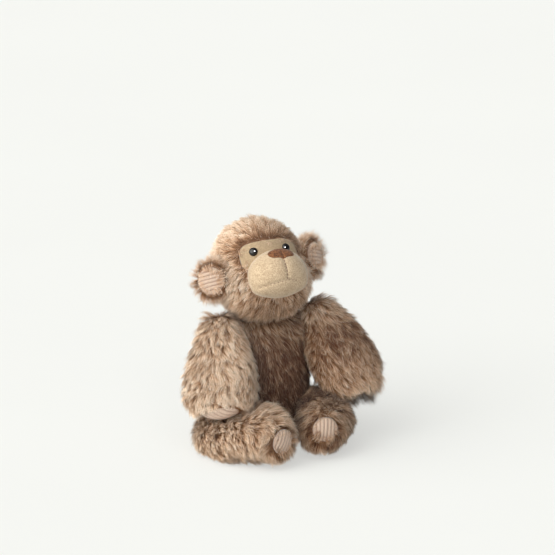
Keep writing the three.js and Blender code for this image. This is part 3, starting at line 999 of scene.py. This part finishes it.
def muzzle():
    """The stuffed pillow of the muzzle, with its stitched lines sunk in."""
    obj = hull_object("muzzle_pillow", cad_points("muzzle_skin"), MUZZLE_CLOTH)
    remesh(obj, 2.0, relax=8)
    square_muzzle(obj)
    inflate([obj], cap=2.0, pressure=3.0)
    subdivide(obj)
    points = points_of(obj.data)
    q = head_local(points)
    front = fade(q[:, 1], -52, -58)
    lines = [((0, NOSE_SEAM_TOP), MOUTH_JOINT)] + [(MOUTH_JOINT, end) for end in MOUTH_ENDS]
    near = np.min([segment_distance(q[:, 0], q[:, 2], *line) for line in lines], axis=0)
    sink = 0.9 * np.exp(-(near / 1.4) ** 2) + 0.7 * np.exp(-(near / 5.0) ** 2)
    set_points(obj.data, points - normals_of(obj.data) * (sink * front)[:, None])
    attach(obj, "head")
    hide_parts("muzzle_skin")
    return obj


def tube(path, radius, sides=6):
    """A closed tube along the points, thinner at its ends: vertices and faces."""
    path = np.asarray(path, float)
    heading = unit(np.gradient(path, axis=0))
    side = unit(np.cross(heading, [0.31, 0.22, 0.92]))
    other = np.cross(heading, side)
    verts, faces = [], []
    count = len(path)
    shrink = np.ones(count)
    shrink[[0, -1]] = 0.55
    for k in range(count):
        for i in range(sides):
            angle = 2 * math.pi * i / sides
            spoke = side[k] * math.cos(angle) + other[k] * math.sin(angle)
            verts.append(path[k] + radius * shrink[k] * spoke)
    for k in range(count - 1):
        for i in range(sides):
            a, b = k * sides + i, k * sides + (i + 1) % sides
            faces.append((a, b, b + sides, a + sides))
    faces.append(tuple(reversed(range(sides))))
    faces.append(tuple(range((count - 1) * sides, count * sides)))
    return verts, faces


def joined(parts):
    """One set of vertices and faces from several."""
    verts, faces = [], []
    for v, f in parts:
        start = len(verts)
        verts += list(v)
        faces += [tuple(i + start for i in face) for face in f]
    return verts, faces


def on_surface(tree, x, z, lift):
    """The point of the muzzle's front at head-local x, z, standing proud by lift."""
    start = head_world([x, -120.0, z])
    toward = head_world([x, 0.0, z]) - start
    hit, normal = tree.ray_cast(Vector(start * MM), Vector(unit(toward)))[:2]
    return np.array(hit) / MM + np.array(normal) * lift


def stitches(pillow):
    """The thread of the muzzle's seam and mouth, stitch by stitch."""
    tree = tree_of(pillow)
    parts = []

    def run(a, b, stitch, gap, radius):
        a, b = np.array(a, float), np.array(b, float)
        length = np.linalg.norm(b - a)
        count = int(length // (stitch + gap))
        for i in range(count):
            start = (i + 0.5) / count - stitch / 2 / length
            ts = start + np.linspace(0, 1, 5) * stitch / length
            arch = np.array([-0.35, 0.12, 0.22, 0.12, -0.35])
            line = [on_surface(tree, *(a + (b - a) * t), lift) for t, lift in zip(ts, arch)]
            parts.append(tube(line, radius))

    run((0, NOSE_SEAM_TOP), MOUTH_JOINT, 2.6, 0.5, 0.45)
    for end in MOUTH_ENDS:
        run(MOUTH_JOINT, end, 2.0, 1.3, 0.26)
    obj = mesh_object("mouth_stitches", *joined(parts), THREAD)
    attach(obj, "head")


NOSE = {"half_width": 13.0, "half_height": 7.9, "tilt": math.radians(46), "middle": (1.0, -60.9, 6.2)}


def nose(pillow):
    """A domed patch pulled down at the middle of its lower edge."""
    tree = tree_of(pillow)
    radius, angle, side, faces = closed_disc(14, 72)
    ex, ez = superellipse(angle, NOSE["half_width"], NOSE["half_height"], 2.3)
    x, h = ex * radius, ez * radius
    notch = 1.8 * np.exp(-(x / 2.0) ** 2) * fade(h, 0, -NOSE["half_height"])
    h = h - notch * radius + 0.9 * (np.abs(x) / NOSE["half_width"]) ** 2 * np.clip(h / 6, -1, 0)
    tilt = NOSE["tilt"]
    up = np.array([0.0, math.sin(tilt), math.cos(tilt)])
    out = np.array([0.0, -math.cos(tilt), math.sin(tilt)])
    start = NOSE["middle"] + x[:, None] * [1.0, 0, 0] + h[:, None] * up + RAY_START * out
    heading = Vector(unit(head_world(-out) - HEAD_CENTER))
    dome = 0.3 + 1.6 * np.maximum(0, 1 - radius ** 4) ** 0.6
    crease = 0.9 * np.exp(-(x / 1.1) ** 2) * fade(h, 2, -3)
    thick = np.where(side > 0.5, dome - crease, -1.2)
    points = []
    for p, lift in zip(head_world(start), thick):
        hit = tree.ray_cast(Vector(p * MM), heading)[0]
        points.append(np.array(hit) / MM - np.array(heading) * lift)
    obj = mesh_object("nose_patch", points, faces, NOSE_CLOTH)
    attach(obj, "head")
    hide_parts("nose")


EYE_X = {"right": -18.0, "left": 15.2}
EYE_Z = 12.0
EYE_RADIUS = 4.3


def eye(side):
    """A domed bead on the face cloth, with its shank through it."""
    center = np.array([EYE_X[side], 0, EYE_Z])
    center[1] = skull_front(center[0], center[2], 1.7)
    slope = unit((center - [0, SKULL["middle"], 0]) / np.array(SKULL["radii"]) ** 2)
    radius, angle, flag, faces = closed_disc(20, 48)
    a = unit(np.cross(slope, UP))
    b = np.cross(a, slope)
    bulge = np.where(flag > 0.5, 2.9 * np.sqrt(np.maximum(0, 1 - radius ** 2.2)), -1.2)
    reach = EYE_RADIUS * radius
    verts = center + a * (reach * np.cos(angle))[:, None] - b * (reach * np.sin(angle))[:, None]
    verts += slope * bulge[:, None]
    shank = tube([head_world(center + slope * d) for d in (-0.8, -2, -5, -8)], 1.2, 12)
    obj = mesh_object(f"eye_bead_{side}", *joined([(head_world(verts), faces), shank]), EYE_PLASTIC)
    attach(obj, "head")
    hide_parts(f"eye_{side}")


face_patch()
pillow = muzzle()
stitches(pillow)
nose(pillow)
for side in SIDES:
    eye(side)

# ==== Corduroy ====

WALE_PITCH = 3.7
WALE_HEIGHT = 0.9
PAD_INSET = 0.5


def corduroy_pad(part, side, node, body, wale_direction, dome, on=None):
    """A domed oval pad with raised wales along wale_direction. It lies over the shell on, if given."""
    pad = pads[f"{part}_{side}"]
    radius, angle, front, faces = closed_disc(60, 160)
    rx, ry = pad.half[:2] - PAD_INSET
    x, y = rx * radius * np.cos(angle), ry * radius * np.sin(angle)
    right, up, out = pad.axes
    if np.cross(right, up) @ out < 0:
        faces = [tuple(reversed(f)) for f in faces]
    run = np.array(wale_direction, float)
    run = unit(run - out * (run @ out))
    across = np.cross(out, run)
    where = x * (right @ across) + y * (up @ across)
    wander = 0.25 * np.sin((x * (right @ run) + y * (up @ run)) / 6.0 + where / 5.0)
    phase = (where + wander) / WALE_PITCH
    wale = np.abs(np.cos(math.pi * phase)) ** 0.55
    edge = fade(radius, 1.0, 0.88)
    height = dome * (1 - radius ** 2.4) + WALE_HEIGHT * (wale - 0.5) * np.sqrt(edge)
    flat = pad.center + x[:, None] * right + y[:, None] * up
    if on:
        tree = tree_of(on)
        for i, place in enumerate(flat):
            far = tree.ray_cast(Vector((place + out * RAY_START) * MM), Vector(-out))[3]
            height[i] += max(0.0, RAY_START - far / MM) if far else 0.0
    height = np.where(front > 0.5, height, -1.6)
    points = flat + height[:, None] * out
    obj = mesh_object(f"{part}_corduroy_{side}", points, faces, CORDUROY)
    # The wale value for the colour: grooves painted dark as shade, darker towards the rim, and 0.3 on the
    # back.
    ridge = np.where(front > 0.5, wale * (0.35 + 0.65 * edge), 0.3)
    obj.data.attributes.new("wale", "FLOAT", "POINT").data.foreach_set("value", ridge.astype(np.float32))
    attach(obj, body)
    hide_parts(node)


SOLE_WALES = {"right": (0.5, 0, 1), "left": (0.05, 0, 1)}

for side, sign in SIDES.items():
    arm = f"arm_{side}"
    corduroy_pad("ear", side, f"ear_lining_{side}", "head", (1, 0, -0.12 * sign), 2.4)
    corduroy_pad("palm", side, f"palm_pad_{side}", arm, (1, 0.3, 0), 2.5, on=shells[arm])
    corduroy_pad("sole", side, f"sole_pad_{side}", f"leg_{side}", SOLE_WALES[side], 3.0)

# ==== What is inside, and the shells' place in the frame ====


def filling(name, node, body, material, voxel):
    """Lumpy stuffing inside a skin, a little smaller than its CAD piece."""
    obj = copy_object(name, node, material)
    remesh(obj, voxel)
    points = points_of(obj.data)
    lumps = np.sin(points[:, 0] / 3.1) * np.sin(points[:, 1] / 2.7) * np.sin(points[:, 2] / 3.4)
    set_points(obj.data, points - normals_of(obj.data) * (1.2 + 0.8 * lumps)[:, None])
    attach(obj, body)
    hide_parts(node)


filling("torso_filling", "torso_stuffing", "torso", STUFFING, 4.0)
filling("head_filling", "head_stuffing", "head", STUFFING, 4.0)
filling("muzzle_filling", "muzzle_stuffing", "head", STUFFING, 3.0)
filling("seat_bag", "pellet_bag", "torso", PELLETS, 2.5)
for side in SIDES:
    for limb in ("arm", "leg"):
        filling(f"{limb}_filling_{side}", f"{limb}_stuffing_{side}", f"{limb}_{side}", STUFFING,
                4.0)
    washer = frame["nodes"][f"eye_washer_{side}"]
    washer.data.materials.clear()
    washer.data.materials.append(WASHER_PLASTIC)

for key, shell in shells.items():
    part, gap, side = key.partition("_")
    body, kind = ("head", "back") if part == "ear" else (key, "skin")
    node = f"{part}_{kind}{gap}{side}"
    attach(shell, body)
    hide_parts(node)

# ==== Stage and light ====

# Each soft light of the dome: the direction it comes from, how narrow it is, and its brightness.
LOBES = [((-0.88, -0.2, 0.46), 8.0, 5.0), ((0.0, 0.35, 1.0), 4.0, 0.42)]
# The dome's own light, its horizon and colour, and the heights between which the horizon ends.
DOME = {"dim": 0.07, "horizon": 0.935, "color": (0.99, 1.0, 0.955, 1)}
HORIZON_ENDS = {"From Min": 0.03, "From Max": 0.08}
FLOOR_RADIUS = 60000.0
FLOOR_GLOW = {"strength": 0.53, "color": srgb(254, 255, 252)}


def dome_light():
    """A soft dome, bright on the toy's right and overhead, above a plain pale horizon."""
    world = bpy.data.worlds.new("world")
    world.use_nodes = True
    g = Graph(world.node_tree)
    direction = g.add("TexCoord").outputs["Generated"]
    total = DOME["dim"]
    for toward, focus, bright in LOBES:
        links = {0: direction, 1: Vector(toward).normalized()}
        facing = g.add("VectorMath", links, operation="DOT_PRODUCT").outputs["Value"]
        share = g.math("MULTIPLY", g.math("ADD", facing, 1.0), 0.5)
        total = g.math("ADD", g.math("MULTIPLY", g.math("POWER", share, focus), bright), total)
    height = g.add("SeparateXYZ", {0: direction}).outputs["Z"]
    band = g.add("MapRange", {"Value": height, **HORIZON_ENDS}).outputs["Result"]
    level = g.add("Mix", {"Factor": band, "A": DOME["horizon"], "B": total}).outputs["Result"]
    background = g.tree.nodes["Background"]
    g.tree.links.new(level, background.inputs["Strength"])
    background.inputs["Color"].default_value = DOME["color"]
    return world


def stage():
    """A pale floor with a little light of its own, which keeps its shadows soft."""
    n = Nodes("paper", Roughness=1.0, Specular_IOR_Level=0.0, Emission_Strength=FLOOR_GLOW["strength"])
    n.shader.inputs["Emission Color"].default_value = FLOOR_GLOW["color"]
    n.color(n.ramp(n.noise(3, 2), [(0.2, srgb(154, 154, 153)), (0.8, srgb(157, 157, 156))]))
    radius, angle, faces = disc(6, 64)
    points = np.stack([radius * np.cos(angle), radius * np.sin(angle), radius * 0], axis=-1) * FLOOR_RADIUS
    floor = mesh_object("floor", points, faces, n.material, smooth=False)
    bpy.context.scene.world = dome_light()


def sun(name, toward, strength, spread, color):
    """A broad soft light that comes from the direction toward."""
    data = bpy.data.lights.new(name, "SUN")
    data.energy = strength
    data.angle = math.radians(spread)
    data.color = color
    lamp = placed(name, data)
    lamp.rotation_mode = "QUATERNION"
    lamp.rotation_quaternion = Vector(toward).to_track_quat("Z", "Y")
    return lamp


stage()
sun("front", (-0.04, -0.73, 0.68), 0.22, 15, (1.0, 0.98, 0.95))

# A lamp that only glossy surfaces show, which puts the glint in the eyes.
catchlight = sun("catchlight", (0.0, -0.72, 0.69), 13.0, 16, (1.0, 1.0, 1.0))
catchlight.visible_diffuse = False
bpy.context.scene.view_settings.view_transform = "Standard"
